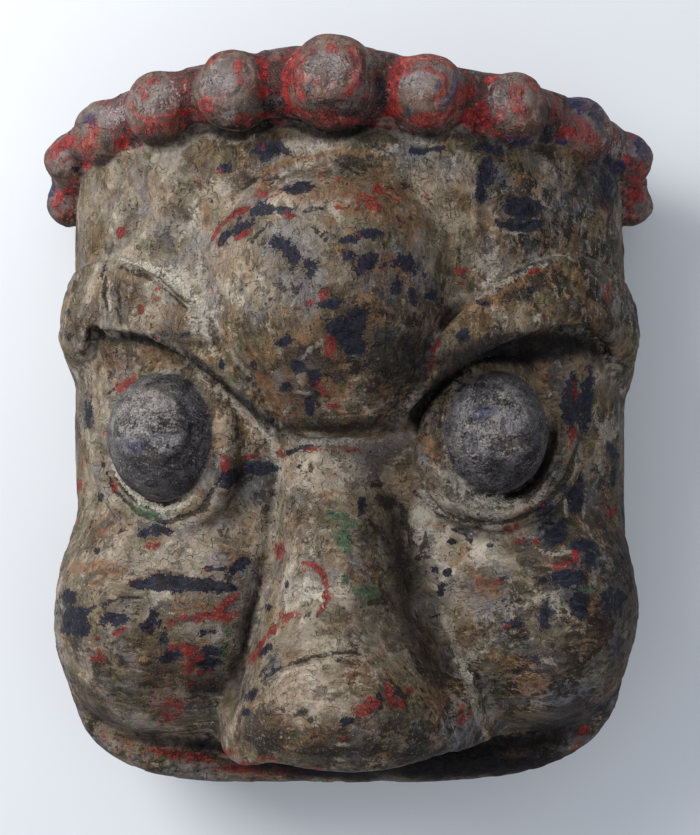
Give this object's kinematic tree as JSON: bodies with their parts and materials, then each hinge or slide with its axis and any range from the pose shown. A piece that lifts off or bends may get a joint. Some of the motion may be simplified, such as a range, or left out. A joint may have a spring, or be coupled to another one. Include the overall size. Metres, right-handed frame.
{
  "type": "cham dance mask",
  "caption": "Hollow papier-mache dance mask of a wrathful guardian with a domed forehead, bulging eyes, rolled brows, broad nose, lower lip and a crown of knobs.",
  "frame": {"origin": "middle of the mask's box, in the plane of its flat back rim", "axes": "+X to the right of the face seen from the front, +Y to the crown, +Z out of the face; the mask lies on its back rim"},
  "size_m": [0.2974, 0.3388, 0.1848],
  "materials": {
    "painted_paper": "worn matte paint over paper layers, dusty"
  },
  "bodies": {
    "root": {"mask": "painted_paper"}
  },
  "joints": []
}
